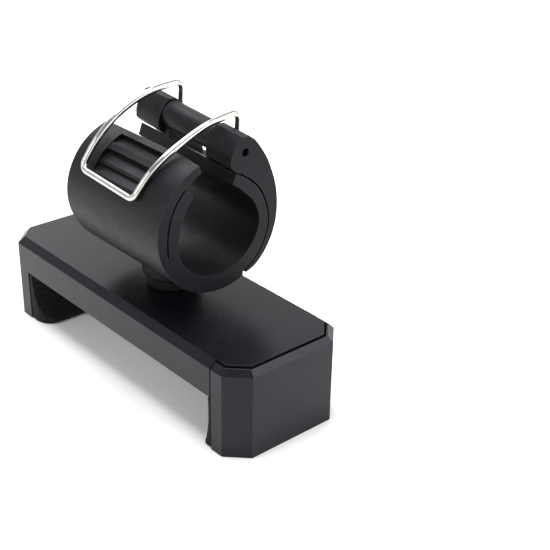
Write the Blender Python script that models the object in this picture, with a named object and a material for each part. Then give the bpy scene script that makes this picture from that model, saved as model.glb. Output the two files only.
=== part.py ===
"""Spring phone clip with a swivelling pole clamp, modelled as an assembly.

Frame: X runs along the clip, with the moving jaw at +X. Z is up, and the feet of the two jaws
stand on Z = 0. The pole clamp's bore runs along X, above the clip. Lengths here are millimetres
and become metres where a vertex is made.
"""
import math

import bmesh
import bpy
from mathutils import Vector

MM = 0.001
GAP = 0.3                      # clearance between pieces that touch

# Clip, outside
LENGTH = 80.0                  # over both jaws, closed
WIDTH = 28.2
WALL_TOP = 17.65               # top of the upright sides, where the rim chamfer starts
PLATE_TOP = 19.1
RIM_TOP = 18.8                 # the moving jaw's rim, just under the top plate
CORNER = 4.1                   # leg of the upright corner chamfers
BODY_END = 32.4                # the moving jaw starts one gap beyond this
SKIRT = 11.5                   # underside of the beam between the jaws
JAW_INNER = 32.5               # inner face of both jaws, from the middle
HALF_LENGTH = LENGTH / 2
HALF_WIDTH = WIDTH / 2

# Top plate's tongue, which reaches over the moving jaw
PLATE_THICK = 2.0
TONGUE_END = 38.35
TONGUE_HALF_WIDTH = 12.35
SEAM = 0.4                     # gap all round the tongue

# Hollow of the beam and the sliding parts in it
CAVITY_TOP = 17.0
CAVITY_FLOOR = 13.6
CAVITY_HALF_WIDTH = 12.0
CAVITY_BACK = -24.5
COVER_BACK = -31.0
COVER_BOTTOM = 11.9
COVER_TOP = 13.3
COVER_SCREWS = ((-27.8, -8.0), (-27.8, 8.0), (27.25, -3.4), (27.25, 3.4))
SPRING_WALL = (26.0, 28.5)     # wall that the springs push against
ROD_Y = 7.7
ROD_RADIUS = 0.8
ROD_HOLE = 1.1
ROD_BACK = -21.6
SPRING_RADIUS = 1.6
SPRING_BACK = -20.4
PRONG_Y = (9.7, 11.6)
PRONG_BACK = -6.0
FRAME_Z = (13.9, 16.7)
FRAME_X = (33.05, 34.6)
SLIDE_MID_Z = 15.3             # height of rods, springs and jaw screws
JAW_SCREW_Y = 3.2

# Swivel between clip and clamp
NECK_X = 2.5
NECK_HOLE = 4.5
INSERT_OUTER = 4.2
INSERT_INNER = 3.4
STUD_RADIUS = 3.1
INSERT_BOTTOM = 14.0
END_INSERT_Z = 9.0
FLANGE_BOTTOM = 21.7
FLANGE_RADIUS = 6.2

# Clamp ring: the bore's centre, and the ring's half length along X
RING_Z = 37.35
RING_HALF = 15.3
SLOT_HALF = 0.2                # half width of the slit behind the toothed arm
LEVER_GAP = 0.35               # clearance between lever and ring

# Outlines of the ring as (angle from +Y in degrees, radius); +Z is at 90
LEVER_TIP = -61.5              # angle of the lever's tip
BORE = ((65, 8.0), (49, 7.9), (32, 8.2), (18, 8.9), (6, 9.5), (-5, 10.1), (-20, 10.5),
        (-136, 10.5), (-157, 10.2), (-171, 9.65), (-189, 9.15), (-229, 9.2))
BACK_ARM = ((65, 10.1), (44, 10.35), (24, 11.05), (6, 11.75), (-10, 12.6), (-26, 13.05),
            (-42, 13.35), (-63, 13.4))
OUTSIDE = ((-65, 14.15), (-140, 13.98), (-180, 14.4), (-215, 14.2), (-250, 13.75))
SLIT = ((-229, 11.95), (-190, 11.95), (-174, 12.15), (-163, 12.5))
LEVER_BACK = ((LEVER_TIP, 14.15), (-55, 14.6), (-45, 14.82), (0, 14.75), (12, 14.85), (30, 15.3),
              (40, 15.9), (49, 16.5), (60, 17.5))
ARM_END = -254.5               # angle of the toothed arm's tip
ARM_CORNER = 4.0               # degrees that the tip's front corner is cut back
ARM_CORNER_X = 6.0             # where that cut starts
TONGUE_TIP = -229              # angle of the inner tongue's tip

# Latch. The back arm and the lever's ears rise towards the rear, and the bail with them.
LEAN = 0.06                    # rise per length
LEAN_FROM = 3.0                # height above the bore's centre where the rise begins
LEAN_FULL = 9.5                # height where it is complete
PIN_Y = 6.5                    # the lever's pin, from the bore's centre
PIN_Z = 13.0                   # at the lever's front ear
PIN_RADIUS = 0.6
PIN_HOLE = 0.85
BARREL_RADIUS = 2.8
BARREL_HALF = 7.3
WEB_X = (6.1, 7.3)             # the two webs that carry the barrel, from its middle
WINDOW_HALF = 7.6              # the lever's window, which clears the barrel
WINDOW_BOTTOM = 4.9
HEEL_RADIUS = 4.2              # foot of the ears, about the pin
WIRE_RADIUS = 0.65
WIRE_X = 9.0                   # where the holes for the bail's ends start in the ears
BAIL_Y = 10.2                  # the bail's pivot, from the bore's centre
BAIL_Z = 11.2
BAIL_ENDS = (-13.4, 11.8)      # the bail's two ends along X, from the ring's middle
GROOVE_RADIUS = 2.8            # room for the bail where it turns in the ears
GROOVE_END = 10.8
HOLE_END = 13.8

# Bail's rear and front arm as (x, y, z) from the ring's middle, from the bar up to the sharp
# corner above the leg
BAIL_ARMS = (
    ((-9.8, -13.9, 6.4), (-9.8, -12.9, 8.2), (-9.8, -10.2, 11.5), (-9.8, -6.4, 14.75),
     (-9.8, -1.8, 17.2), (-9.8, 3.0, 18.7), (-9.8, 7.6, 19.2), (-9.8, 10.65, 19.25)),
    ((7.3, -13.9, 6.5), (7.5, -12.9, 8.1), (8.0, -10.2, 11.35), (8.2, -6.4, 14.0),
     (8.2, -1.8, 16.1), (8.2, 3.0, 17.75), (8.2, 7.6, 18.5), (8.2, 10.7, 18.75)),
)

# Tooth rack: (angle, radius) from the arm's tip down, cut into the toothed arm
RACK_X = (-8.3, 7.2)
RACK = ((-247.0, 15.5), (-247.0, 12.7), (-241.0, 13.15), (-236.0, 13.8), (-230.5, 13.8),
        (-229.5, 12.65), (-219.5, 13.65), (-217.0, 13.6), (-215.5, 13.0), (-208.5, 14.15),
        (-208.5, 15.5))

PLASTIC = ((0.012, 0.012, 0.013), 0.42, 0.0)
SMOOTH_PLASTIC = ((0.010, 0.010, 0.011), 0.30, 0.0)
RUBBER = ((0.015, 0.015, 0.015), 0.80, 0.0)
STEEL = ((0.62, 0.62, 0.60), 0.22, 1.0)
BRASS = ((0.70, 0.50, 0.22), 0.30, 1.0)
ZINC = ((0.45, 0.46, 0.48), 0.35, 1.0)


def clear_scene():
    for item in list(bpy.data.objects):
        bpy.data.objects.remove(item, do_unlink=True)


def place(axis, a, b, t):
    """Point in metres for outline coordinates a and b at the distance t along the axis."""
    points = {"X": (t, a, b), "Y": (a, t, b), "Z": (a, b, t)}
    return Vector(points[axis]) * MM


def add_prism(bm, outline, low, high, axis="X", inset=None):
    """Closed prism over an outline; inset gives the far end its own outline."""
    near = [bm.verts.new(place(axis, a, b, low)) for a, b in outline]
    far = [bm.verts.new(place(axis, a, b, high)) for a, b in (inset or outline)]
    bm.faces.new(near)
    bm.faces.new(far)
    count = len(near)
    for i in range(count):
        j = (i + 1) % count
        bm.faces.new((near[i], near[j], far[j], far[i]))


def add_stack(bm, layers):
    """Closed loft along Z through outlines of equal length: a list of (outline, height)."""
    loops = []
    for outline, height in layers:
        loops.append([bm.verts.new(place("Z", a, b, height)) for a, b in outline])
    bm.faces.new(loops[0])
    bm.faces.new(loops[-1])
    for lower, upper in zip(loops, loops[1:]):
        for i in range(len(lower)):
            j = (i + 1) % len(lower)
            bm.faces.new((lower[i], lower[j], upper[j], upper[i]))


def add_box(bm, low, high):
    outline = ((low[0], low[1]), (high[0], low[1]), (high[0], high[1]), (low[0], high[1]))
    add_prism(bm, outline, low[2], high[2], "Z")


def circle(a, b, radius, segments=32):
    turn = 2 * math.pi / segments
    return [(a + radius * math.cos(i * turn), b + radius * math.sin(i * turn)) for i in range(segments)]


def add_turned(bm, profile, centre, axis, hollow=False, segments=32):
    """Turn a profile of (radius, distance along the axis) about a line through the centre."""
    loops = []
    for radius, t in profile:
        ring = circle(centre[0], centre[1], radius, segments)
        loops.append([bm.verts.new(place(axis, a, b, t)) for a, b in ring])
    pairs = list(zip(loops, loops[1:]))
    if hollow:
        pairs.append((loops[-1], loops[0]))
    else:
        bm.faces.new(loops[0])
        bm.faces.new(loops[-1])
    for first, second in pairs:
        for i in range(segments):
            j = (i + 1) % segments
            bm.faces.new((first[i], first[j], second[j], second[i]))


def new_material(name, look):
    colour, roughness, metallic = look
    material = bpy.data.materials.new(name)
    material.use_nodes = True
    shader = material.node_tree.nodes["Principled BSDF"]
    shader.inputs["Base Color"].default_value = (*colour, 1.0)
    shader.inputs["Roughness"].default_value = roughness
    shader.inputs["Metallic"].default_value = metallic
    return material


def new_object(name, bm, look=None, parent=None):
    """Turn the bmesh into an object whose origin is its parent's, with faces out."""
    bmesh.ops.recalc_face_normals(bm, faces=bm.faces)
    if parent:
        bmesh.ops.translate(bm, verts=bm.verts, vec=-parent.matrix_world.translation)
    mesh = bpy.data.meshes.new(name)
    bm.to_mesh(mesh)
    bm.free()
    mesh.shade_smooth()
    mesh.set_sharp_from_angle(angle=math.radians(30))
    item = bpy.data.objects.new(name, mesh)
    bpy.context.scene.collection.objects.link(item)
    if parent:
        item.parent = parent
    if look:
        mesh.materials.append(new_material(name, look))
    return item


def combine(item, name, bm, operation):
    """Join a tool solid to the item, or cut it away, with an exact Boolean."""
    tool = new_object(item.name + "_" + name, bm, parent=item.parent)
    tool.hide_render = True
    tool.display_type = "WIRE"
    modifier = item.modifiers.new(name, "BOOLEAN")
    modifier.operation = operation
    modifier.solver = "EXACT"
    modifier.object = tool


def new_pivot(name, x, y, z):
    pivot = bpy.data.objects.new(name, None)
    bpy.context.scene.collection.objects.link(pivot)
    pivot.location = Vector((x, y, z)) * MM
    bpy.context.view_layer.update()
    return pivot


def radius_at(keys, angle):
    """Smooth radius between (angle, radius) keys that run in either direction."""
    keys = sorted(keys)
    angles = [key[0] for key in keys]
    radii = [key[1] for key in keys]
    if angle <= angles[0]:
        return radii[0]
    if angle >= angles[-1]:
        return radii[-1]
    i = max(k for k in range(len(keys) - 1) if angles[k] <= angle)

    def slope(k):
        low = max(k - 1, 0)
        high = min(k + 1, len(keys) - 1)
        return (radii[high] - radii[low]) / (angles[high] - angles[low])

    span = angles[i + 1] - angles[i]
    t = (angle - angles[i]) / span
    rise = (2 * t - 3) * t * t
    return ((1 + rise) * radii[i] - rise * radii[i + 1]
            + span * t * (1 - t) * ((1 - t) * slope(i) - t * slope(i + 1)))


def polar(angle, radius):
    """Outline point (y, z) in the clip's frame for an angle and radius about the bore."""
    turn = math.radians(angle)
    return radius * math.cos(turn), RING_Z + radius * math.sin(turn)


def sweep(keys, start, end, offset=0.0, step=5.0):
    """Points of a polar outline from one angle to another."""
    count = max(2, round(abs(end - start) / step))
    angles = [start + (end - start) * i / count for i in range(count + 1)]
    return [polar(angle, radius_at(keys, angle) + offset) for angle in angles]


def end_outline(inset, end=HALF_LENGTH, start=BODY_END):
    """Plan of one clip end: a straight start at one X, chamfered corners at the other."""
    side = HALF_WIDTH - inset
    tip = end - inset
    lean = inset * (math.sqrt(2) - 1)
    leg_x = end - CORNER - lean
    leg_y = HALF_WIDTH - CORNER - lean
    return [(start, -side), (leg_x, -side), (tip, -leg_y), (tip, leg_y), (leg_x, side), (start, side)]


def mirrored(outline):
    return [(-a, b) for a, b in outline]


def rise(x):
    """How much higher the latch lies at x than at the front of the ring."""
    return LEAN * (NECK_X + RING_HALF - x)


def leaning(outline, x):
    """A section of the clamp where it crosses x: its upper right part rises towards the rear."""
    result = []
    for y, z in outline:
        share = (z - RING_Z - LEAN_FROM) / (LEAN_FULL - LEAN_FROM)
        share = min(max(share, 0.0), 1.0) if y > 0 else 0.0
        result.append((y, z + rise(x) * share))
    return result


def add_leaning_prism(bm, outline, low, high):
    add_prism(bm, leaning(outline, low), low, high, "X", leaning(outline, high))


def add_leaning_rod(bm, y, z, radius, low, high, segments=32):
    """Round bar along the latch's leaning axis; y and z are from the bore's centre at the front."""
    centre = RING_Z + z
    near = circle(y, centre + rise(low), radius, segments)
    far = circle(y, centre + rise(high), radius, segments)
    add_prism(bm, near, low, high, "X", far)


def make_body_shell():
    """Beam, top plate with its tongue, and the fixed jaw, as one moulding."""
    base = mirrored(end_outline(0.0, start=-BODY_END))
    rim = mirrored(end_outline(PLATE_TOP - WALL_TOP, start=-BODY_END))
    bm = bmesh.new()
    add_stack(bm, ((base, 0.0), (base, WALL_TOP), (rim, PLATE_TOP)))
    shell = new_object("body_shell", bm, SMOOTH_PLASTIC)

    bm = bmesh.new()
    add_box(bm, (-JAW_INNER, -HALF_WIDTH - 5, -5), (BODY_END + 5, HALF_WIDTH + 5, SKIRT))
    combine(shell, "jaw_space", bm, "DIFFERENCE")

    lean = (HALF_WIDTH - TONGUE_HALF_WIDTH) * (math.sqrt(2) - 1)
    leg = TONGUE_END - CORNER + lean
    corner_y = TONGUE_HALF_WIDTH - CORNER + lean
    start = BODY_END - 3
    tongue = [(start, -TONGUE_HALF_WIDTH), (leg, -TONGUE_HALF_WIDTH), (TONGUE_END, -corner_y),
              (TONGUE_END, corner_y), (leg, TONGUE_HALF_WIDTH), (start, TONGUE_HALF_WIDTH)]
    bm = bmesh.new()
    add_prism(bm, tongue, PLATE_TOP - PLATE_THICK, PLATE_TOP, "Z")
    combine(shell, "tongue", bm, "UNION")

    bm = bmesh.new()
    add_box(bm, (COVER_BACK, -CAVITY_HALF_WIDTH, SKIRT - 5),
            (BODY_END + 1, CAVITY_HALF_WIDTH, CAVITY_FLOOR))
    combine(shell, "cover_seat", bm, "DIFFERENCE")

    for name, low, high in (("spring_space", CAVITY_BACK, SPRING_WALL[0]),
                            ("end_space", SPRING_WALL[1], BODY_END + 1)):
        bm = bmesh.new()
        add_box(bm, (low, -CAVITY_HALF_WIDTH, CAVITY_FLOOR - 1), (high, CAVITY_HALF_WIDTH, CAVITY_TOP))
        combine(shell, name, bm, "DIFFERENCE")

    bm = bmesh.new()
    for side in (-1, 1):
        low, high = sorted((side * (PRONG_Y[0] - GAP), side * CAVITY_HALF_WIDTH))
        add_box(bm, (SPRING_WALL[0] - 1, low, CAVITY_FLOOR - 1), (SPRING_WALL[1] + 1, high, CAVITY_TOP))
    combine(shell, "prong_gates", bm, "DIFFERENCE")

    bm = bmesh.new()
    add_turned(bm, ((5.7, CAVITY_FLOOR + 0.2), (5.7, CAVITY_TOP + 1)), (NECK_X, 0), "Z")
    combine(shell, "neck_boss", bm, "UNION")

    bm = bmesh.new()
    add_turned(bm, ((NECK_HOLE, CAVITY_FLOOR - 1), (NECK_HOLE, PLATE_TOP + 1)), (NECK_X, 0), "Z")
    combine(shell, "neck_hole", bm, "DIFFERENCE")

    bm = bmesh.new()
    for side in (-1, 1):
        add_turned(bm, ((ROD_HOLE, SPRING_WALL[0] - 1), (ROD_HOLE, SPRING_WALL[1] + 1)),
                   (side * ROD_Y, SLIDE_MID_Z), "X", segments=20)
    add_turned(bm, ((NECK_HOLE, -HALF_LENGTH - 1), (NECK_HOLE, -JAW_INNER - 0.8)), (0, END_INSERT_Z), "X")
    for x, y in COVER_SCREWS:
        add_turned(bm, ((1.2, CAVITY_FLOOR - 1), (1.2, 16.3)), (x, y), "Z", segments=16)
    combine(shell, "holes", bm, "DIFFERENCE")


def make_bottom_cover():
    side = CAVITY_HALF_WIDTH - GAP
    bm = bmesh.new()
    add_box(bm, (COVER_BACK + GAP, -side, COVER_BOTTOM), (BODY_END - GAP, side, COVER_TOP))
    cover = new_object("bottom_cover", bm, PLASTIC)
    bm = bmesh.new()
    for x, y in COVER_SCREWS:
        add_turned(bm, ((2.2, COVER_BOTTOM - 1), (2.2, 12.7), (1.2, 12.7), (1.2, COVER_TOP + 1)), (x, y), "Z",
                   segments=20)
    combine(cover, "screw_seats", bm, "DIFFERENCE")


def make_cover_screws():
    profile = ((1.7, 12.0), (1.9, 12.2), (1.9, 12.4), (0.9, 12.4), (0.9, 16.0))
    for number, (x, y) in enumerate(COVER_SCREWS, 1):
        bm = bmesh.new()
        add_turned(bm, profile, (x, y), "Z", segments=16)
        new_object(f"cover_screw_{number}", bm, ZINC)


def make_back_pad():
    corner = 2.0
    x, y = 23.0, 9.5
    outline = [(-x, -y + corner), (-x + corner, -y), (x - corner, -y), (x, -y + corner),
               (x, y - corner), (x - corner, y), (-x + corner, y), (-x, y - corner)]
    bm = bmesh.new()
    add_prism(bm, outline, COVER_BOTTOM - GAP - 0.9, COVER_BOTTOM - GAP, "Z")
    new_object("back_pad", bm, RUBBER)


def make_inserts():
    length = PLATE_TOP - 0.1 - INSERT_BOTTOM
    profile = ((INSERT_INNER, 0.0), (INSERT_OUTER, 0.0), (INSERT_OUTER, length), (INSERT_INNER, length))
    bm = bmesh.new()
    add_turned(bm, [(r, INSERT_BOTTOM + t) for r, t in profile], (NECK_X, 0), "Z", hollow=True)
    new_object("centre_thread_insert", bm, BRASS)
    bm = bmesh.new()
    add_turned(bm, [(r, 0.1 - HALF_LENGTH + t) for r, t in profile], (0, END_INSERT_Z), "X", hollow=True)
    new_object("end_thread_insert", bm, BRASS)


def rounded_pad_plan(back, front, half_width, radius, steps=5):
    """Plan of a jaw pad: square at its back, with round corners in front."""
    corners = [(back, -half_width), (front - radius, -half_width)]
    for i in range(1, steps + 1):
        turn = math.pi / 2 * i / steps
        corners.append((front - radius + radius * math.sin(turn),
                        -half_width + radius - radius * math.cos(turn)))
    return corners + [(x, -y) for x, y in reversed(corners)]


def make_fixed_jaw_pad():
    back = -JAW_INNER + GAP
    profile = [(back, 0.25), (-26.9, 0.2), (-26.2, 0.55), (-26.4, 1.2), (-28.2, 2.3), (-29.7, 4.2),
               (-30.7, 6.6), (-31.15, 9.0), (-31.3, SKIRT - GAP), (back, SKIRT - GAP)]
    bm = bmesh.new()
    add_prism(bm, profile, -HALF_WIDTH - 1, HALF_WIDTH + 1, "Y")
    pad = new_object("fixed_jaw_pad", bm, RUBBER)
    bm = bmesh.new()
    add_prism(bm, rounded_pad_plan(back - 1, -26.1, HALF_WIDTH - 0.1, 4.5), -1, SKIRT + 1, "Z")
    combine(pad, "plan", bm, "INTERSECT")


def make_moving_jaw():
    start = BODY_END + GAP
    base = end_outline(0.0, start=start)
    rim = end_outline(RIM_TOP - WALL_TOP, start=start)
    bm = bmesh.new()
    add_stack(bm, ((base, 0.0), (base, WALL_TOP), (rim, RIM_TOP)))
    jaw = new_object("moving_jaw", bm, PLASTIC)

    end = TONGUE_END + SEAM
    side = TONGUE_HALF_WIDTH + SEAM
    lean = (HALF_WIDTH - side) * (math.sqrt(2) - 1)
    leg = end - CORNER + lean
    corner_y = side - CORNER + lean
    recess = [(start - 1, -side), (leg, -side), (end, -corner_y), (end, corner_y), (leg, side),
              (start - 1, side)]
    bm = bmesh.new()
    add_prism(bm, recess, PLATE_TOP - PLATE_THICK - GAP, PLATE_TOP + 1, "Z")
    combine(jaw, "tongue_recess", bm, "DIFFERENCE")

    bm = bmesh.new()
    add_box(bm, (start - 1, -CAVITY_HALF_WIDTH, FRAME_Z[0] - GAP),
            (35.9, CAVITY_HALF_WIDTH, PLATE_TOP - PLATE_THICK))
    combine(jaw, "frame_pocket", bm, "DIFFERENCE")

    bm = bmesh.new()
    for side in (-1, 1):
        add_turned(bm, ((1.1, 35.0), (1.1, 38.6)), (side * JAW_SCREW_Y, SLIDE_MID_Z), "X", segments=16)
    combine(jaw, "screw_holes", bm, "DIFFERENCE")


def make_moving_jaw_pad():
    back = BODY_END
    profile = [(back, 0.3), (30.9, 0.35), (30.75, 0.75), (31.25, 2.0), (31.65, 3.9), (31.88, 6.2),
               (31.9, 8.6), (31.8, SKIRT - GAP), (back, SKIRT - GAP)]
    bm = bmesh.new()
    add_prism(bm, profile, -HALF_WIDTH + 0.1, HALF_WIDTH - 0.1, "Y")
    new_object("moving_jaw_pad", bm, RUBBER)


def make_slide_frame():
    """Cross bar in the moving jaw, with a prong along each side of the beam."""
    bm = bmesh.new()
    outer = PRONG_Y[1]
    inner = PRONG_Y[0]
    outline = [(PRONG_BACK, -outer), (FRAME_X[1], -outer), (FRAME_X[1], outer), (PRONG_BACK, outer),
               (PRONG_BACK, inner), (FRAME_X[0], inner), (FRAME_X[0], -inner), (PRONG_BACK, -inner)]
    add_prism(bm, outline, FRAME_Z[0], FRAME_Z[1], "Z")
    frame = new_object("slide_frame", bm, PLASTIC)
    bm = bmesh.new()
    for y in (-ROD_Y, -JAW_SCREW_Y, JAW_SCREW_Y, ROD_Y):
        add_turned(bm, ((ROD_HOLE, FRAME_X[0] - 1), (ROD_HOLE, FRAME_X[1] + 1)), (y, SLIDE_MID_Z), "X",
                   segments=20)
    combine(frame, "holes", bm, "DIFFERENCE")


def make_jaw_screws():
    head = FRAME_X[0] - GAP
    profile = ((1.3, head - 1.0), (1.6, head - 0.7), (1.6, head), (0.8, head), (0.8, 38.3))
    for name, side in (("left", -1), ("right", 1)):
        bm = bmesh.new()
        add_turned(bm, profile, (side * JAW_SCREW_Y, SLIDE_MID_Z), "X", segments=16)
        new_object("jaw_screw_" + name, bm, ZINC)


def make_rods_and_springs():
    head = FRAME_X[1] + GAP
    for name, side in (("left", -1), ("right", 1)):
        centre = (side * ROD_Y, SLIDE_MID_Z)
        bm = bmesh.new()
        add_turned(bm, ((ROD_RADIUS, ROD_BACK), (ROD_RADIUS, head), (1.5, head), (1.5, head + 0.6)),
                   centre, "X", segments=20)
        new_object("guide_rod_" + name, bm, STEEL)
        bm = bmesh.new()
        front = SPRING_WALL[0] - GAP
        inner = ROD_RADIUS + GAP
        profile = ((inner, SPRING_BACK), (SPRING_RADIUS, SPRING_BACK), (SPRING_RADIUS, front), (inner, front))
        add_turned(bm, profile, centre, "X", hollow=True, segments=20)
        new_object("return_spring_" + name, bm, STEEL)
        bm = bmesh.new()
        far = SPRING_BACK - GAP
        inner = ROD_RADIUS + 0.1
        add_turned(bm, ((inner, far - 0.5), (SPRING_RADIUS, far - 0.5), (SPRING_RADIUS, far), (inner, far)),
                   centre, "X", hollow=True, segments=20)
        new_object("rod_clip_" + name, bm, ZINC)


def make_neck():
    bm = bmesh.new()
    add_turned(bm, ((3.6, PLATE_TOP + GAP), (5.4, PLATE_TOP + GAP), (5.4, FLANGE_BOTTOM - GAP),
                    (3.6, FLANGE_BOTTOM - GAP)), (NECK_X, 0), "Z", hollow=True)
    new_object("friction_washer", bm, RUBBER)
    bm = bmesh.new()
    add_turned(bm, ((STUD_RADIUS - 0.5, 14.3), (STUD_RADIUS, 14.8), (STUD_RADIUS, 21.8), (2.3, 21.8),
                    (2.3, 23.2), (3.4, 23.2), (3.4, 24.6)), (NECK_X, 0), "Z")
    new_object("neck_stud", bm, ZINC)


def ring_outline():
    """Section of the ring: toothed arm, floor, back arm and the tongue inside the toothed arm."""
    tip_angle, tip_radius = ARM_END, radius_at(OUTSIDE, ARM_END)
    outside = sweep(OUTSIDE, -65, ARM_END + 1.5)
    arm_tip = [polar(tip_angle, tip_radius - 0.5), polar(tip_angle, 12.9), polar(tip_angle + 3, 12.2)]
    slit_outer = sweep(SLIT, TONGUE_TIP, -163, SLOT_HALF)
    slit_inner = sweep(SLIT, -163, TONGUE_TIP, -SLOT_HALF)
    tongue_tip = [polar(TONGUE_TIP - 2.5, 11.2), polar(TONGUE_TIP - 3.5, 10.4), polar(TONGUE_TIP - 1.5, 9.7)]
    bore = sweep(BORE, TONGUE_TIP, 65)
    back = sweep(BACK_ARM, 65, -63)
    arm_under = [polar(-243, 12.1), polar(-236, 12.1)]
    return outside + arm_tip + arm_under + slit_outer + slit_inner + tongue_tip + bore + back


def make_ring(parent):
    low = NECK_X - RING_HALF
    high = NECK_X + RING_HALF
    bm = bmesh.new()
    add_leaning_prism(bm, ring_outline(), low, high)
    ring = new_object("ring_body", bm, PLASTIC, parent)

    bm = bmesh.new()
    rack = [polar(angle, radius) for angle, radius in RACK]
    add_prism(bm, rack, NECK_X + RACK_X[0], NECK_X + RACK_X[1], "X")
    combine(ring, "rack", bm, "DIFFERENCE")

    corner = []
    for end in (ARM_END - 0.2, ARM_END + ARM_CORNER):
        corner.append([polar(end - 12, 11.5), polar(end, 11.5), polar(end, 16), polar(end - 12, 16)])
    bm = bmesh.new()
    add_prism(bm, corner[0], NECK_X + ARM_CORNER_X, high + 0.5, "X", corner[1])
    combine(ring, "tip_corner", bm, "DIFFERENCE")

    pin = RING_Z + PIN_Z
    bm = bmesh.new()
    web = [polar(64.5, 9.6), (PIN_Y - 2.0, pin - 1.5), (PIN_Y, pin), (PIN_Y + 1.9, pin - 1.7),
           polar(44, 9.9)]
    for side in (-1, 1):
        near, far = sorted(side * x for x in WEB_X)
        add_leaning_prism(bm, web, NECK_X + near, NECK_X + far)
    combine(ring, "webs", bm, "UNION")

    bm = bmesh.new()
    add_leaning_rod(bm, PIN_Y, PIN_Z, BARREL_RADIUS, NECK_X - BARREL_HALF, NECK_X + BARREL_HALF)
    combine(ring, "barrel", bm, "UNION")

    bm = bmesh.new()
    foot = FLANGE_BOTTOM
    add_turned(bm, ((FLANGE_RADIUS - 0.4, foot), (FLANGE_RADIUS, foot + 0.4), (FLANGE_RADIUS, 25.8)),
               (NECK_X, 0), "Z")
    combine(ring, "neck", bm, "UNION")

    bm = bmesh.new()
    add_turned(bm, ((3.5, foot - 1), (3.5, 22.1), (2.6, 22.1), (2.6, 22.9), (3.7, 22.9), (3.7, 24.9)),
               (NECK_X, 0), "Z")
    combine(ring, "stud_seat", bm, "DIFFERENCE")

    bm = bmesh.new()
    add_leaning_rod(bm, PIN_Y, PIN_Z, PIN_HOLE, NECK_X - BARREL_HALF - 1, NECK_X + BARREL_HALF + 1, 20)
    combine(ring, "pin_hole", bm, "DIFFERENCE")


def make_latch_pin(parent):
    bm = bmesh.new()
    end = RING_HALF - 1.0
    add_leaning_rod(bm, PIN_Y, PIN_Z, PIN_RADIUS, NECK_X - end, NECK_X + end, 20)
    new_object("latch_pin", bm, STEEL, parent)


def lever_outline():
    """Section of the lever: two ears at the top, a curved plate that thins to its tip."""
    back = sweep(LEVER_BACK, LEVER_TIP, 60)
    ear_top = [(7.4, 16.15), (5.7, 16.2), (4.5, 15.1), (3.4, 13.5), (3.0, 12.2)]
    ear_foot = []
    for angle in range(213, 260, 9):
        turn = math.radians(angle)
        ear_foot.append((PIN_Y + HEEL_RADIUS * math.cos(turn), PIN_Z + HEEL_RADIUS * math.sin(turn)))
    inner = sweep(BACK_ARM, 46, LEVER_TIP, LEVER_GAP)
    return back + [(y, RING_Z + z) for y, z in ear_top + ear_foot] + inner


def make_lever(parent):
    low = NECK_X - RING_HALF
    high = NECK_X + RING_HALF
    bm = bmesh.new()
    add_leaning_prism(bm, lever_outline(), low, high)
    lever = new_object("latch_lever", bm, PLASTIC, parent)

    bm = bmesh.new()
    add_box(bm, (NECK_X - WINDOW_HALF, 0, RING_Z + WINDOW_BOTTOM), (NECK_X + WINDOW_HALF, 25, RING_Z + 25))
    combine(lever, "window", bm, "DIFFERENCE")

    bm = bmesh.new()
    for side in (-1, 1):
        low, high = sorted((NECK_X + side * (WINDOW_HALF - 1), NECK_X + side * GROOVE_END))
        add_leaning_rod(bm, BAIL_Y, BAIL_Z, GROOVE_RADIUS, low, high)
    combine(lever, "wire_grooves", bm, "DIFFERENCE")

    bm = bmesh.new()
    for side in (-1, 1):
        low, high = sorted((NECK_X + side * WIRE_X, NECK_X + side * HOLE_END))
        add_leaning_rod(bm, BAIL_Y, BAIL_Z, WIRE_RADIUS + 0.25, low, high, 16)
    add_leaning_rod(bm, PIN_Y, PIN_Z, PIN_HOLE, NECK_X - RING_HALF - 1, NECK_X + RING_HALF + 1, 20)
    combine(lever, "holes", bm, "DIFFERENCE")


def rounded(points, radius, steps=5):
    """Replace each inner corner of a path by an arc."""
    path = [points[0]]
    for before, corner, after in zip(points, points[1:], points[2:]):
        into = (corner - before).normalized()
        out = (after - corner).normalized()
        turn = into.angle(out)
        start = corner - into * radius * math.tan(turn / 2)
        across = (out - out.project(into)).normalized() * radius
        centre = start + across
        for i in range(steps + 1):
            angle = turn * i / steps
            path.append(centre - across * math.cos(angle) + into * radius * math.sin(angle))
    path.append(points[-1])
    return path


def smooth_path(points, per_span=3):
    """Smooth curve through points, each a tuple of coordinates."""
    path = []
    for i in range(len(points) - 1):
        before = points[max(i - 1, 0)]
        start, end = points[i], points[i + 1]
        after = points[min(i + 2, len(points) - 1)]
        for k in range(per_span):
            t = k / per_span
            path.append(Vector([0.5 * (2 * b + (c - a) * t + (2 * a - 5 * b + 4 * c - d) * t * t
                                       + (3 * b - a - 3 * c + d) * t ** 3)
                                for a, b, c, d in zip(before, start, end, after)]))
    path.append(Vector(points[-1]))
    return path


def bail_half(points, other_corner, end_x):
    """Half of the bail: round the bar's corner, up the arm, down the leg and out to its end."""
    arm = smooth_path(points[:-1])
    top = Vector(points[-1])
    foot = Vector((top.x, BAIL_Y, BAIL_Z + LEAN * RING_HALF))
    end = Vector((end_x, foot.y, foot.z))
    bend = rounded([Vector(other_corner), arm[0], arm[2]], 1.6)[1:-1]
    return bend + arm[2:-2] + rounded([arm[-2], top, foot, end], 1.4)[1:]


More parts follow.
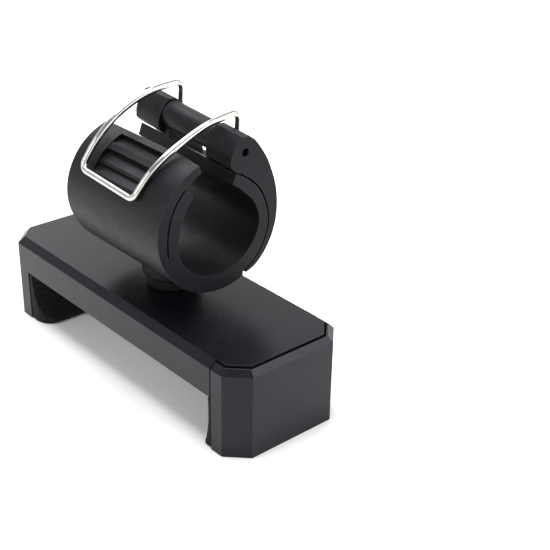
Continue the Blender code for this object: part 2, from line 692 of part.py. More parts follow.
def make_bail(parent):
    """Wire bail: two arms over the ring, joined by the bar that hooks on the teeth."""
    rear, front = BAIL_ARMS
    path = list(reversed(bail_half(rear, front[0], BAIL_ENDS[0])))
    path += bail_half(front, rear[0], BAIL_ENDS[1])
    curve = bpy.data.curves.new("wire_bail", "CURVE")
    curve.dimensions = "3D"
    curve.bevel_depth = WIRE_RADIUS * MM
    curve.bevel_resolution = 4
    curve.use_fill_caps = True
    spline = curve.splines.new("POLY")
    spline.points.add(len(path) - 1)
    origin = parent.matrix_world.translation
    for point, p in zip(spline.points, path):
        place_on_clip = Vector((NECK_X + p.x, p.y, RING_Z + p.z - LEAN * p.x)) * MM
        point.co = (*(place_on_clip - origin), 1.0)
    item = bpy.data.objects.new("wire_bail", curve)
    item.parent = parent
    curve.materials.append(new_material("wire_bail", STEEL))
    bpy.context.scene.collection.objects.link(item)


def main():
    clear_scene()
    make_body_shell()
    make_bottom_cover()
    make_cover_screws()
    make_back_pad()
    make_inserts()
    make_fixed_jaw_pad()
    make_moving_jaw()
    make_moving_jaw_pad()
    make_slide_frame()
    make_jaw_screws()
    make_rods_and_springs()
    make_neck()
    swivel = new_pivot("swivel_axis", NECK_X, 0, 0)
    make_ring(swivel)
    hinge = new_pivot("lever_axis", NECK_X, PIN_Y, RING_Z + PIN_Z + rise(NECK_X))
    make_latch_pin(hinge)
    make_lever(hinge)
    bail_hinge = new_pivot("bail_axis", NECK_X, BAIL_Y, RING_Z + BAIL_Z + rise(NECK_X))
    make_bail(bail_hinge)


main()
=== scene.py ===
import math

import bmesh
import bpy
from mathutils import Matrix, Vector


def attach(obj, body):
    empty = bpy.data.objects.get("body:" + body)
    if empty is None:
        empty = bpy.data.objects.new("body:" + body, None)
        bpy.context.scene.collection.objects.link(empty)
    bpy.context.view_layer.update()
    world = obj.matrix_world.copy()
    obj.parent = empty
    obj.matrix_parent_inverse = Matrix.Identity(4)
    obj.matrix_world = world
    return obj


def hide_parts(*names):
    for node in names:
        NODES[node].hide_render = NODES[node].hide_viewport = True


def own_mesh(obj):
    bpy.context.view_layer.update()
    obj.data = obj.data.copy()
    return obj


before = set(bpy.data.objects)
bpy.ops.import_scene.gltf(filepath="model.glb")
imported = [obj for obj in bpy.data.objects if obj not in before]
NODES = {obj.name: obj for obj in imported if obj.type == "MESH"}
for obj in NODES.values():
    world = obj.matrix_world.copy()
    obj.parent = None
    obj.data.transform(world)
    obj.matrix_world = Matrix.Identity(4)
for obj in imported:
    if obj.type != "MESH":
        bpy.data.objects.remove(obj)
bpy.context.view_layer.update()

MM = 0.001
PER_MM = 1000                  # texture scale: cells per metre for one cell per millimetre

# Sizes below are millimetres, as in the CAD
NECK_X = 2.5                   # the clamp's swivel axis
RING_Z = 37.35                 # height of the ring's axis
RING_HALF = 15.3               # half of the ring's length
LEAN = 0.06                    # how far the latch sinks towards the front, per length
INSERT_X = -40.0               # outer end of the clip, where the second thread is
INSERT_Z = 9.0
INSERT_INNER = 3.4
INSERT_OUTER = 4.2
INSERT_LENGTH = 5.0
THREAD_PITCH = 1.27
THREAD_DEPTH = 0.35
SCREW_PLACES = ((-27.8, -8.0), (-27.8, 8.0), (27.25, -3.4), (27.25, 3.4))
SPRING_BACK = -20.4
SPRING_FRONT = 25.7
SPRING_Y = 7.7
SLIDE_Z = 15.3
SPRING_COIL = 1.35             # radius of the coil's middle line
SPRING_WIRE = 0.25
SPRING_TURNS = 30
JAW_SCREW_Y = 3.2
RIB_PITCH = 1.5
RIB_DEPTH = 0.32
RIB_HEIGHTS = (2.4, 10.4)      # the ribs start and end at these heights
PAD_HALF = 14.0                # half of a pad's width
PAD_CORNER = 4.5               # round front corners of the fixed jaw's pad
GRAIN_SIZE = 0.24              # cells of the moulded plastic's grain
EDGE_HIGHLIGHT_REACH = 0.35              # how far from an edge the painted highlight reaches
BAIL_WIRE = 0.65               # radius of the bail's wire
BAIL_Y = 10.2                  # the bail's hinge, from the ring's axis
BAIL_Z = 11.2
BAIL_ENDS = (-13.4, 11.8)      # tips of the wire in the lever's ears
BAIL_BAR_BEND = 1.6            # inner radius of the bends beside the bar
BAIL_LEG_BEND = 1.4            # and of those above and below the legs

# Bail's rear and front arm as (x, y, z) from the ring's middle, from the bar up to the leg's corner
BAIL_ARMS = (
    ((-9.8, -13.9, 6.4), (-9.8, -12.9, 8.2), (-9.8, -10.2, 11.5), (-9.8, -6.4, 14.75),
     (-9.8, -1.8, 17.2), (-9.8, 3.0, 18.7), (-9.8, 7.6, 19.2), (-9.8, 10.65, 19.25)),
    ((7.3, -13.9, 6.5), (7.5, -12.9, 8.1), (8.0, -10.2, 11.35), (8.2, -6.4, 14.0),
     (8.2, -1.8, 16.1), (8.2, 3.0, 17.75), (8.2, 7.6, 18.5), (8.2, 10.7, 18.75)),
)

ARM_STEPS = 6                  # points of the smooth arm between two of the points above
ARM_TRIM = 4                   # points at either end that the bends take the place of
WIRE_SIDES = 24
SPRING_SIDES = 8
TURN_STEPS = 18                # points in one turn of a spring

COOL_TINT = (0.87, 0.87, 1.0)           # of the reflections in black plastic and rubber
# colour of the painted highlight along the plastic's sharp edges
EDGE_HIGHLIGHT_COLOUR = (0.03, 0.03, 0.032)


def link(name, bm, body, smooth_angle=40):
    """Make a piece from a bmesh in millimetres and let it ride on a body."""
    bmesh.ops.recalc_face_normals(bm, faces=bm.faces)
    bmesh.ops.scale(bm, vec=(MM, MM, MM), verts=bm.verts)
    mesh = bpy.data.meshes.new(name)
    bm.to_mesh(mesh)
    bm.free()
    mesh.shade_smooth()
    mesh.set_sharp_from_angle(angle=math.radians(smooth_angle))
    piece = bpy.data.objects.new(name, mesh)
    bpy.context.scene.collection.objects.link(piece)
    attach(piece, body)
    return piece


def bridge(bm, rows, closed_ends=False):
    """Join rows of points, each a closed loop, into one skin, with caps unless its ends meet."""
    loops = [[bm.verts.new(point) for point in row] for row in rows]
    pairs = list(zip(loops, loops[1:]))
    if closed_ends:
        pairs.append((loops[-1], loops[0]))
    else:
        bm.faces.new(loops[0])
        bm.faces.new(loops[-1])
    for first, second in pairs:
        count = len(first)
        for i in range(count):
            j = (i + 1) % count
            bm.faces.new((first[i], first[j], second[j], second[i]))


class Finish:
    """A Principled material built from nodes, with feature sizes in millimetres."""

    def __init__(self, name, roughness, metallic=0.0, specular=0.5, tint=(1, 1, 1)):
        self.material = bpy.data.materials.new(name)
        self.material.use_nodes = True
        self.tree = self.material.node_tree
        self.shader = self.tree.nodes["Principled BSDF"]
        self.shader.inputs["Roughness"].default_value = roughness
        self.shader.inputs["Metallic"].default_value = metallic
        self.shader.inputs["Specular IOR Level"].default_value = specular
        self.shader.inputs["Specular Tint"].default_value = (*tint, 1)
        self.place = self.new("ShaderNodeTexCoord").outputs["Object"]
        self.last_bump = None

    def new(self, kind, **values):
        node = self.tree.nodes.new(kind)
        for key, value in values.items():
            setattr(node, key, value)
        return node

    def join(self, output, target):
        self.tree.links.new(output, target)

    def noise(self, size, detail=2.0, stretch=(1, 1, 1), rough=0.5):
        """Noise with features of a size in millimetres, longer along an axis whose stretch is below 1."""
        mapping = self.new("ShaderNodeMapping")
        mapping.inputs["Scale"].default_value = [s * PER_MM / size for s in stretch]
        self.join(self.place, mapping.inputs["Vector"])
        noise = self.new("ShaderNodeTexNoise")
        noise.inputs["Scale"].default_value = 1.0
        noise.inputs["Detail"].default_value = detail
        noise.inputs["Roughness"].default_value = rough
        self.join(mapping.outputs["Vector"], noise.inputs["Vector"])
        return noise.outputs["Fac"]

    def spread(self, value, low_in, high_in, low_out, high_out):
        """Map one range of values on another, and clamp what lies outside."""
        node = self.new("ShaderNodeMapRange", clamp=True)
        ranges = (("From Min", low_in), ("From Max", high_in), ("To Min", low_out), ("To Max", high_out))
        for key, number in ranges:
            node.inputs[key].default_value = number
        self.join(value, node.inputs["Value"])
        return node.outputs["Result"]

    def math(self, operation, first, second):
        node = self.new("ShaderNodeMath", operation=operation)
        for value, target in ((first, node.inputs[0]), (second, node.inputs[1])):
            if isinstance(value, (int, float)):
                target.default_value = value
            else:
                self.join(value, target)
        return node.outputs[0]

    def mix(self, factor, first, second):
        node = self.new("ShaderNodeMix", data_type="RGBA")
        self.join(factor, node.inputs["Factor"])
        for value, target in ((first, node.inputs[6]), (second, node.inputs[7])):
            if isinstance(value, tuple):
                target.default_value = (*value, 1.0)
            else:
                self.join(value, target)
        return node.outputs[2]

    def edge_highlight_mask(self):
        """Mask of a painted highlight: high where a sharp edge is near, broken up by noise."""
        bevel = self.new("ShaderNodeBevel", samples=4)
        bevel.inputs["Radius"].default_value = EDGE_HIGHLIGHT_REACH * MM
        geometry = self.new("ShaderNodeNewGeometry")
        product = self.new("ShaderNodeVectorMath", operation="DOT_PRODUCT")
        self.join(bevel.outputs["Normal"], product.inputs[0])
        self.join(geometry.outputs["Normal"], product.inputs[1])
        edge = self.spread(product.outputs["Value"], 0.80, 0.985, 1.0, 0.0)
        patchy = self.spread(self.noise(1.8, 3), 0.42, 0.68, 0.15, 1.0)
        return self.math("MULTIPLY", edge, patchy)

    def bump(self, height, depth):
        """Add a layer of relief, its depth in millimetres."""
        node = self.new("ShaderNodeBump")
        node.inputs["Strength"].default_value = 1.0
        node.inputs["Distance"].default_value = depth * MM
        self.join(height, node.inputs["Height"])
        if self.last_bump:
            self.join(self.last_bump, node.inputs["Normal"])
        self.last_bump = node.outputs["Normal"]
        self.join(self.last_bump, self.shader.inputs["Normal"])

    def colour(self, output):
        self.join(output, self.shader.inputs["Base Color"])

    def roughness(self, output):
        self.join(output, self.shader.inputs["Roughness"])


def moulded_plastic(name, dark, light, smooth, rough, sheen, grain_depth, speckle, lines=None):
    """Black moulded plastic: clouded colour, spark-eroded grain, uneven gloss, and a painted highlight
    along its edges, where it is also glossier.

    sheen is the strength of its reflections, and speckle how far the grain alters the gloss.
    lines is (pitch, stretch, depth) of faint tool marks in the mould, or nothing.
    """
    finish = Finish(name, smooth, specular=sheen, tint=COOL_TINT)
    cloud = finish.noise(7.0, 4)
    fine = finish.noise(GRAIN_SIZE, 2)
    # edges masks a painted highlight: the plastic is painted lighter and made glossier along its sharp
    # edges
    edges = finish.edge_highlight_mask()
    base = finish.mix(finish.spread(cloud, 0.3, 0.7, 0, 1), dark, light)
    finish.colour(finish.mix(edges, base, EDGE_HIGHLIGHT_COLOUR))
    handled = finish.noise(3.2, 5, rough=0.65)
    gloss = finish.spread(handled, 0.3, 0.72, smooth, rough)
    uneven = finish.math("ADD", gloss, finish.spread(fine, 0.3, 0.7, -speckle, speckle))
    finish.roughness(finish.math("SUBTRACT", uneven, finish.math("MULTIPLY", edges, 0.08)))
    if lines:
        pitch, stretch, depth = lines
        finish.bump(finish.noise(pitch, 2, stretch), depth)
    finish.bump(finish.noise(0.9, 3), grain_depth * 1.5)
    finish.bump(fine, grain_depth)
    return finish.material


def rubber(name):
    """Matt soft rubber with a fine pebble and a little dust."""
    finish = Finish(name, 0.75, specular=0.18, tint=COOL_TINT)
    dust = finish.spread(finish.noise(1.1, 6, rough=0.7), 0.55, 0.8, 0, 1)
    finish.colour(finish.mix(dust, (0.0065, 0.0065, 0.007), (0.022, 0.022, 0.021)))
    finish.roughness(finish.spread(finish.noise(0.5, 3), 0.3, 0.7, 0.62, 0.86))
    finish.bump(finish.noise(0.22, 2), 0.02)
    return finish.material


def metal(name, dark, light, smooth, rough, stretch=(1, 1, 1), scratch_depth=0.004):
    """Bare metal: clouded tint, fine scratches in one direction, and spots of duller gloss."""
    finish = Finish(name, smooth, metallic=1.0)
    cloud = finish.spread(finish.noise(2.5, 4), 0.3, 0.7, 0, 1)
    finish.colour(finish.mix(cloud, dark, light))
    scratches = finish.noise(0.12, 3, stretch)
    dull = finish.spread(finish.noise(1.4, 4), 0.35, 0.75, smooth, rough)
    finish.roughness(finish.math("ADD", dull, finish.spread(scratches, 0.35, 0.75, -0.02, 0.05)))
    finish.bump(scratches, scratch_depth)
    return finish.material


def make_finishes():
    return {
        "shell": moulded_plastic("shell_plastic", (0.0040, 0.0037, 0.0058), (0.0062, 0.0058, 0.0082),
                                 smooth=0.26, rough=0.33, sheen=0.24, grain_depth=0.0002, speckle=0.005),
        "jaw": moulded_plastic("jaw_plastic", (0.0022, 0.0024, 0.0042), (0.0042, 0.0044, 0.0064),
                               smooth=0.30, rough=0.38, sheen=0.28, grain_depth=0.002, speckle=0.03),
        "clamp": moulded_plastic("clamp_plastic", (0.0030, 0.0030, 0.0042), (0.0065, 0.0065, 0.0076),
                                 smooth=0.38, rough=0.50, sheen=0.18, grain_depth=0.006, speckle=0.04,
                                 lines=(0.30, (0.03, 1, 1), 0.055)),
        "inner": moulded_plastic("inner_plastic", (0.008, 0.008, 0.008), (0.013, 0.013, 0.013),
                                 smooth=0.40, rough=0.55, sheen=0.30, grain_depth=0.008, speckle=0.04),
        "rubber": rubber("pad_rubber"),
        "wire": metal("polished_wire", (0.52, 0.51, 0.49), (0.64, 0.63, 0.60), 0.09, 0.2),
        "rod": metal("ground_rod", (0.50, 0.50, 0.49), (0.60, 0.60, 0.58), 0.16, 0.28, (0.06, 1, 1)),
        "spring": metal("spring_steel", (0.36, 0.36, 0.36), (0.48, 0.48, 0.46), 0.22, 0.36),
        "zinc": metal("zinc_plate", (0.44, 0.46, 0.48), (0.56, 0.57, 0.57), 0.26, 0.42),
        "brass": metal("turned_brass", (0.55, 0.36, 0.12), (0.68, 0.48, 0.20), 0.20, 0.34, (0.1, 1, 1)),
    }


def paint(item, material):
    item.data.materials.clear()
    item.data.materials.append(material)


def soften(name, material, width):
    """Give a CAD node its finish and round its edges with modifiers; its mesh stays as it is."""
    node = NODES[name]
    paint(node, material)
    for polygon in node.data.polygons:
        polygon.use_smooth = True
    weld = node.modifiers.new("weld", "WELD")
    weld.merge_threshold = 1e-6
    flat = node.modifiers.new("flat_faces", "DECIMATE")
    flat.decimate_type = "DISSOLVE"
    flat.angle_limit = math.radians(0.6)
    rounding = node.modifiers.new("round_edges", "BEVEL")
    rounding.width = width * MM
    rounding.segments = 3
    rounding.limit_method = "ANGLE"
    rounding.angle_limit = math.radians(30)
    rounding.miter_outer = "MITER_ARC"
    rounding.harden_normals = True
    normals = node.modifiers.new("even_shading", "WEIGHTED_NORMAL")
    normals.keep_sharp = True
    normals.weight = 80


def circle_row(axis, centre, t, radius, count):
    """Closed row of points round an axis; the radius is a number or a function of the angle."""
    row = []
    for i in range(count):
        angle = 2 * math.pi * i / count
        r = radius(angle) if callable(radius) else radius
        a = centre[0] + r * math.cos(angle)
        b = centre[1] + r * math.sin(angle)
        row.append(Vector((t, a, b)) if axis == "X" else Vector((a, b, t)))
    return row


def thread_radius(base, depth, turn_offset):
    """Radius against angle for one slice of a rounded V thread."""
    def radius(angle):
        phase = (turn_offset - angle / (2 * math.pi)) % 1.0
        return base + depth * abs(2 * phase - 1)
    return radius


def make_thread_insert(name, axis, centre, start, material):
    """Brass bush with a real helical thread in its bore."""
    count = 64
    steps = 48
    chamfer = 0.35
    rim = 0.3
    rows = []
    for i in range(steps + 1):
        t = INSERT_LENGTH * i / steps
        edge = min(t, INSERT_LENGTH - t)
        relief = max(0.0, chamfer - edge)
        inner = INSERT_INNER - THREAD_DEPTH * 0.2 + relief
        depth = THREAD_DEPTH if relief == 0 else THREAD_DEPTH * 0.3
        radius = thread_radius(inner, depth, t / THREAD_PITCH)
        rows.append(circle_row(axis, centre, start + t, radius, count))
    for t in (INSERT_LENGTH, INSERT_LENGTH - rim, rim, 0.0):
        cut = rim / 2 if t in (INSERT_LENGTH, 0.0) else 0.0
        rows.append(circle_row(axis, centre, start + t, INSERT_OUTER - cut, count))
    bm = bmesh.new()
    bridge(bm, rows, closed_ends=True)
    piece = link(name + "_threaded", bm, "clip_body", 30)
    paint(piece, material)
    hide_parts(name)


def make_neck_stud(material):
    """Threaded stud with its collar and the head that the ring is moulded over."""
    centre = (NECK_X, 0)
    count = 48
    tip, tip_radius = 14.3, 2.5
    thread_low, thread_high = 14.6, 19.0
    outer = 3.1
    steps = 40
    run_out = 4                # steps over which the thread fades at either end
    rows = [circle_row("Z", centre, tip, tip_radius, count)]
    for i in range(steps + 1):
        t = thread_low + (thread_high - thread_low) * i / steps
        depth = THREAD_DEPTH * min(1.0, i / run_out, (steps - i) / run_out)
        radius = thread_radius(outer - depth, depth, t / THREAD_PITCH)
        rows.append(circle_row("Z", centre, t, radius, count))
    for radius, t in ((outer, 19.2), (outer, 21.7), (3.0, 21.8), (2.3, 21.8), (2.3, 23.2), (3.3, 23.2),
                      (3.4, 23.3), (3.4, 24.5), (3.3, 24.6)):
        rows.append(circle_row("Z", centre, t, radius, count))
    bm = bmesh.new()
    bridge(bm, rows)
    piece = link("neck_stud_threaded", bm, "clamp_head", 30)
    paint(piece, material)
    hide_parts("neck_stud")


def tube(bm, path, radius, sides):
    """Round wire along a path, with the frame carried along so that it does not twist."""
    rows = []
    side = None
    for i, point in enumerate(path):
        before = path[max(i - 1, 0)]
        after = path[min(i + 1, len(path) - 1)]
        ahead = (after - before).normalized()
        if side is None:
            side = ahead.orthogonal().normalized()
        side = (side - side.project(ahead)).normalized()
        up = ahead.cross(side)
        row = []
        for k in range(sides):
            angle = 2 * math.pi * k / sides
            row.append(point + radius * (math.cos(angle) * side + math.sin(angle) * up))
        rows.append(row)
    bridge(bm, rows)


def smooth_path(points):
    """Smooth curve through points, each a tuple of coordinates."""
    path = []
    for i in range(len(points) - 1):
        before = points[max(i - 1, 0)]
        start, end = points[i], points[i + 1]
        after = points[min(i + 2, len(points) - 1)]
        for k in range(ARM_STEPS):
            t = k / ARM_STEPS
            path.append(Vector([0.5 * (2 * b + (c - a) * t + (2 * a - 5 * b + 4 * c - d) * t * t
                                       + (3 * b - a - 3 * c + d) * t ** 3)
                                for a, b, c, d in zip(before, start, end, after)]))
    path.append(Vector(points[-1]))
    return path


def rounded(points, radius, steps=10):
    """Replace each inner corner of a path by an arc."""
    path = [points[0]]
    for before, corner, after in zip(points, points[1:], points[2:]):
        into = (corner - before).normalized()
        out = (after - corner).normalized()
        turn = into.angle(out)
        start = corner - into * radius * math.tan(turn / 2)
        across = (out - out.project(into)).normalized() * radius
        centre = start + across
        for i in range(steps + 1):
            angle = turn * i / steps
            path.append(centre - across * math.cos(angle) + into * radius * math.sin(angle))
    path.append(points[-1])
    return path


def bail_half(points, other_corner, end_x):
    """Half of the bail: round the bar's corner, up the arm, down the leg and out to its end."""
    arm = smooth_path(points[:-1])
    top = Vector(points[-1])
    foot = Vector((top.x, BAIL_Y, BAIL_Z + LEAN * RING_HALF))
    end = Vector((end_x, foot.y, foot.z))
    bend = rounded([Vector(other_corner), arm[0], arm[ARM_TRIM]], BAIL_BAR_BEND)[1:-1]
    leg = rounded([arm[-ARM_TRIM], top, foot, end], BAIL_LEG_BEND)[1:]
    return bend + arm[ARM_TRIM:-ARM_TRIM] + leg


def make_wire_bail(material):
    """The bail as one smooth wire along the CAD's own path."""
    rear, front = BAIL_ARMS
    path = list(reversed(bail_half(rear, front[0], BAIL_ENDS[0])))
    path += bail_half(front, rear[0], BAIL_ENDS[1])
    on_clip = [Vector((NECK_X + p.x, p.y, RING_Z + p.z - LEAN * p.x)) for p in path]
    bm = bmesh.new()
    tube(bm, on_clip, BAIL_WIRE, WIRE_SIDES)
    piece = link("wire_bail_round", bm, "bail", 60)
    paint(piece, material)
    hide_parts("wire_bail")


def make_return_spring(name, y, material):
    """Coil spring with closed ends."""
    length = SPRING_FRONT - SPRING_BACK - 2 * SPRING_WIRE
    closed = 1.5               # turns that lie close together at either end
    tight = 2.1 * SPRING_WIRE
    open_pitch = (length - 2 * closed * tight) / (SPRING_TURNS - 2 * closed)
    path = []
    x = SPRING_BACK + SPRING_WIRE
    for i in range(SPRING_TURNS * TURN_STEPS + 1):
        turns = i / TURN_STEPS
        angle = 2 * math.pi * turns
        across = SPRING_COIL * math.cos(angle)
        upward = SPRING_COIL * math.sin(angle)
        path.append(Vector((x, y + across, SLIDE_Z + upward)))
        near_end = turns < closed or turns >= SPRING_TURNS - closed
        x += (tight if near_end else open_pitch) / TURN_STEPS
    bm = bmesh.new()
    tube(bm, path, SPRING_WIRE, SPRING_SIDES)
    piece = link(name + "_coil", bm, "clip_body", 60)
    paint(piece, material)
    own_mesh(piece)
    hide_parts(name)


def carve(piece, bm):
    """Cut a solid away from a piece and apply the cut."""
    bmesh.ops.recalc_face_normals(bm, faces=bm.faces)
    bmesh.ops.scale(bm, vec=(MM, MM, MM), verts=bm.verts)
    mesh = bpy.data.meshes.new("cutter")
    bm.to_mesh(mesh)
    bm.free()
    cutter = bpy.data.objects.new("cutter", mesh)
    bpy.context.scene.collection.objects.link(cutter)
    cut = piece.modifiers.new("cut", "BOOLEAN")
    cut.operation = "DIFFERENCE"
    cut.solver = "EXACT"
    cut.object = cutter
    bpy.context.view_layer.update()
    evaluated = piece.evaluated_get(bpy.context.evaluated_depsgraph_get())
    carved = bpy.data.meshes.new_from_object(evaluated)
    piece.modifiers.clear()
    piece.data = carved
    piece.data.shade_smooth()
    piece.data.set_sharp_from_angle(angle=math.radians(35))
    bpy.data.objects.remove(cutter)


def cross_recess(axis, centre, t, reach, depth):
    """Solid of a cross recess: two crossing wedges that narrow with depth."""
    width = reach * 0.22
    clearance = 0.3            # how far the solid stands out of the screw's head
    narrowing = 0.55           # share of the outline that is left at the bottom
    outline = []
    for quarter in range(4):
        turn = math.pi / 2 * quarter
        for along, across in ((width, width), (reach, width), (reach, -width)):
            a = along * math.cos(turn) - across * math.sin(turn)
            b = along * math.sin(turn) + across * math.cos(turn)
            outline.append((a, b))
    ordered = sorted(outline, key=lambda p: math.atan2(p[1], p[0]))
    bm = bmesh.new()
    rows = []
    for share, offset in ((1.0, -clearance), (1.0, 0.0), (narrowing, depth)):
        row = []
        for a, b in ordered:
            first = centre[0] + a * share
            second = centre[1] + b * share
            place = t + offset
            row.append(Vector((place, first, second)) if axis == "X" else Vector((first, second, place)))
        rows.append(row)
    bridge(bm, rows)
    return bm


def make_screw(name, axis, centre, profile, reach, depth, body, material):
    """Turned screw with a domed head and a cross recess.

    profile is a list of (radius, place on the axis) that starts at the head's end.
    reach and depth are the size of the recess.
    """
    head_end = profile[0][1]
    bm = bmesh.new()
    bridge(bm, [circle_row(axis, centre, t, radius, 40) for radius, t in profile])
    piece = link(name + "_recessed", bm, body, 35)
    carve(piece, cross_recess(axis, centre, head_end, reach, depth))
    paint(piece, material)
    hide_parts(name)


def make_screws(material):
    cover_screw = ((1.2, 11.98), (1.6, 12.05), (1.82, 12.18), (1.9, 12.3), (1.85, 12.4),
                   (0.9, 12.4), (0.9, 15.6), (0.6, 16.0))
    for number, (x, y) in enumerate(SCREW_PLACES, 1):
        make_screw(f"cover_screw_{number}", "Z", (x, y), cover_screw, 1.1, 0.45, "clip_body", material)
    jaw_screw = ((0.9, 31.76), (1.25, 31.85), (1.5, 32.05), (1.6, 32.3), (1.6, 32.75),
                 (0.8, 32.75), (0.8, 37.9), (0.5, 38.3))
    for name, y in (("jaw_screw_left", -JAW_SCREW_Y), ("jaw_screw_right", JAW_SCREW_Y)):
        make_screw(name, "X", (y, SLIDE_Z), jaw_screw, 0.9, 0.6, "sliding_jaw", material)


def ribbed(points, depth):
    """Subdivide a side profile and press ribs into its face, as a list of (x, z, dent)."""
    low, high = RIB_HEIGHTS
    step = 0.18
    fade_length = 0.5
    result = []
    for (x0, z0), (x1, z1) in zip(points, points[1:]):
        steps = max(1, round(math.hypot(x1 - x0, z1 - z0) / step))
        for k in range(steps):
            t = k / steps
            result.append((x0 + (x1 - x0) * t, z0 + (z1 - z0) * t))
    result.append(points[-1])
    pressed = []
    for x, z in result:
        fade = min(1.0, max(0.0, (z - low) / fade_length), max(0.0, (high - z) / fade_length))
        wave = 0.5 - 0.5 * math.cos(2 * math.pi * (z - low) / RIB_PITCH)
        pressed.append((x, z, depth * wave * fade))
    return pressed


def make_pad(name, face, back, plan, body, material):
    """Rubber jaw pad, its face a side profile with ribs along Y.

    plan is a list of (y, furthest x, share of the ribs' depth) across the pad.
    """
    inward = 1 if face[1][0] > back else -1
    bm = bmesh.new()
    rows = []
    for y, furthest, share in plan:
        row = []
        for x, z, dent in ribbed(face, RIB_DEPTH * share):
            reach = min(inward * x, inward * furthest) - dent
            row.append(Vector((inward * max(reach, inward * back + 0.05), y, z)))
        row.append(Vector((back, y, face[-1][1])))
        row.append(Vector((back, y, face[0][1])))
        rows.append(row)
    bridge(bm, rows)
    piece = link(name + "_ribbed", bm, body, 50)
    paint(piece, material)
    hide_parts(name)


def make_pads(material):
    far_face = ((-32.2, 0.25), (-26.9, 0.2), (-26.35, 0.42), (-26.3, 0.8), (-26.7, 1.3), (-28.2, 2.3),
                (-29.7, 4.2), (-30.7, 6.6), (-31.15, 9.0), (-31.3, 11.2))
    far_front = -26.1
    steps = 10
    side = []
    for i in range(steps + 1):
        turn = math.pi / 2 * i / steps
        y = -PAD_HALF + PAD_CORNER * (1 - math.cos(turn))
        side.append((y, far_front - PAD_CORNER * (1 - math.sin(turn)), i / steps))
    far_plan = side + [(-y, furthest, share) for y, furthest, share in reversed(side)]
    make_pad("fixed_jaw_pad", far_face, -32.2, far_plan, "clip_body", material)

    near_face = ((32.4, 0.3), (30.9, 0.35), (30.75, 0.75), (31.25, 2.0), (31.65, 3.9), (31.88, 6.2),
                 (31.9, 8.6), (31.8, 11.2))
    side = [(-PAD_HALF, 30.9, 0.0), (0.2 - PAD_HALF, 30.7, 0.0), (1.2 - PAD_HALF, 30.7, 0.0),
            (1.7 - PAD_HALF, 30.7, 1.0)]
    near_plan = side + [(-y, furthest, share) for y, furthest, share in reversed(side)]
    make_pad("moving_jaw_pad", near_face, 32.4, near_plan, "sliding_jaw", material)


def add_camera():
    """Camera at the photograph's viewing angle."""
    azimuth = math.radians(48.095)
    elevation = math.radians(27.358)
    roll = math.radians(1.259)
    place = Vector((170.91, -122.80, 128.16)) * MM
    back = Vector((math.sin(azimuth) * math.cos(elevation), -math.cos(azimuth) * math.cos(elevation),
                   math.sin(elevation)))
    right = Vector((math.cos(azimuth), math.sin(azimuth), 0))
    up = back.cross(right)
    rolled_right = math.cos(roll) * right + math.sin(roll) * up
    rolled_up = math.cos(roll) * up - math.sin(roll) * right
    data = bpy.data.cameras.new("camera")
    data.lens = 74.25
    data.sensor_width = 36
    data.clip_start = 0.01
    data.clip_end = 20
    camera = bpy.data.objects.new("camera", data)
    bpy.context.scene.collection.objects.link(camera)
    turn = Matrix((rolled_right, rolled_up, back)).transposed().to_4x4()
    camera.matrix_world = Matrix.Translation(place) @ turn
    bpy.context.scene.camera = camera


def add_light(name, location, target, size, power, colour=(1, 1, 1)):
    """Rectangular lamp aimed at a target, in metres and watts."""
    data = bpy.data.lights.new(name, "AREA")
    data.shape = "RECTANGLE"
    data.size, data.size_y = size
    data.energy = power
    data.color = colour
    light = bpy.data.objects.new(name, data)
    bpy.context.scene.collection.objects.link(light)
    light.location = location
    aim = Vector(target) - Vector(location)
    light.rotation_euler = aim.to_track_quat("-Z", "Y").to_euler()


def add_floor():
    bm = bmesh.new()
    bmesh.ops.create_grid(bm, x_segments=1, y_segments=1, size=3.0)
    mesh = bpy.data.meshes.new("floor")
    bm.to_mesh(mesh)
    bm.free()
    floor = bpy.data.objects.new("floor", mesh)
    bpy.context.scene.collection.objects.link(floor)
    finish = Finish("floor_paper", 0.8, specular=0.2)
    finish.colour(finish.mix(finish.noise(2.0, 3), (0.92, 0.90, 0.885), (0.94, 0.92, 0.905)))
    paint(floor, finish.material)


def ramp(tree, value, low, high, first, last):
    """Ease a value from one number to another between two limits."""
    node = tree.nodes.new("ShaderNodeMapRange")
    node.interpolation_type = "SMOOTHSTEP"
    for key, number in (("From Min", low), ("From Max", high), ("To Min", first), ("To Max", last)):
        node.inputs[key].default_value = number
    tree.links.new(value, node.inputs["Value"])
    return node.outputs["Result"]


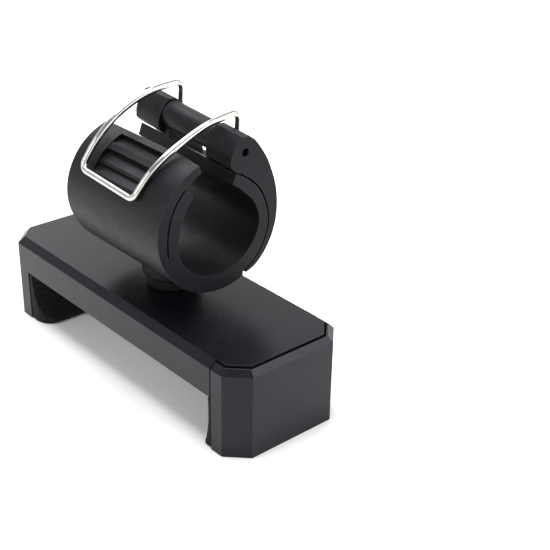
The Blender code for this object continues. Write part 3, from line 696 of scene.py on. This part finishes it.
def add_sky():
    """Pale surround like a small light tent: dimmer overhead, and dimmer on the open side."""
    world = bpy.data.worlds.new("light_tent")
    world.use_nodes = True
    tree = world.node_tree
    place = tree.nodes.new("ShaderNodeTexCoord")
    split = tree.nodes.new("ShaderNodeSeparateXYZ")
    tree.links.new(place.outputs["Generated"], split.inputs[0])
    product = tree.nodes.new("ShaderNodeMath")
    product.operation = "MULTIPLY"
    tree.links.new(ramp(tree, split.outputs["Z"], 0.35, 0.62, 1.45, 0.6), product.inputs[0])
    tree.links.new(ramp(tree, split.outputs["Y"], -0.7, 0.3, 0.6, 1.0), product.inputs[1])
    tree.links.new(product.outputs[0], tree.nodes["Background"].inputs["Strength"])
    tree.nodes["Background"].inputs["Color"].default_value = (1, 1, 1, 1)
    bpy.context.scene.world = world


def add_studio():
    add_sky()
    add_light("overhead", (-0.15, 0.0, 1.2), (0, 0, 0), (0.6, 0.6), 13.0)
    add_light("left_key", (-0.48, 0.08, 0.50), (0, 0, 0.02), (0.36, 0.36), 1.4)
    add_light("back_right", (0.36, 0.34, 0.46), (0, 0, 0.02), (0.3, 0.3), 1.3)
    add_light("front_fill", (-0.06, -0.55, 0.38), (0, 0, 0), (0.4, 0.4), 1.4)
    add_light("right_fill", (0.6, 0.15, 0.15), (0, 0, 0.02), (0.4, 0.3), 0.4, (0.65, 0.80, 1.0))
    bpy.context.scene.view_settings.view_transform = "Standard"


def dress_nodes(finishes):
    soften("body_shell", finishes["shell"], 0.2)
    soften("moving_jaw", finishes["jaw"], 0.04)      # more would fold the thin strips beside its seat
    soften("ring_body", finishes["clamp"], 0.18)
    soften("latch_lever", finishes["clamp"], 0.18)
    soften("bottom_cover", finishes["inner"], 0.2)
    soften("slide_frame", finishes["inner"], 0.2)
    soften("back_pad", finishes["rubber"], 0.3)
    soften("friction_washer", finishes["rubber"], 0.15)
    soften("latch_pin", finishes["rod"], 0.1)
    for side in ("left", "right"):
        soften("guide_rod_" + side, finishes["rod"], 0.12)
        soften("rod_clip_" + side, finishes["zinc"], 0.08)


def main():
    finishes = make_finishes()
    dress_nodes(finishes)
    make_thread_insert("centre_thread_insert", "Z", (NECK_X, 0), 14.0, finishes["brass"])
    make_thread_insert("end_thread_insert", "X", (0, INSERT_Z), INSERT_X + 0.1, finishes["brass"])
    make_neck_stud(finishes["zinc"])
    for name, y in (("return_spring_left", -SPRING_Y), ("return_spring_right", SPRING_Y)):
        make_return_spring(name, y, finishes["spring"])
    make_screws(finishes["zinc"])
    make_wire_bail(finishes["wire"])
    make_pads(finishes["rubber"])
    add_floor()
    add_studio()
    add_camera()


main()
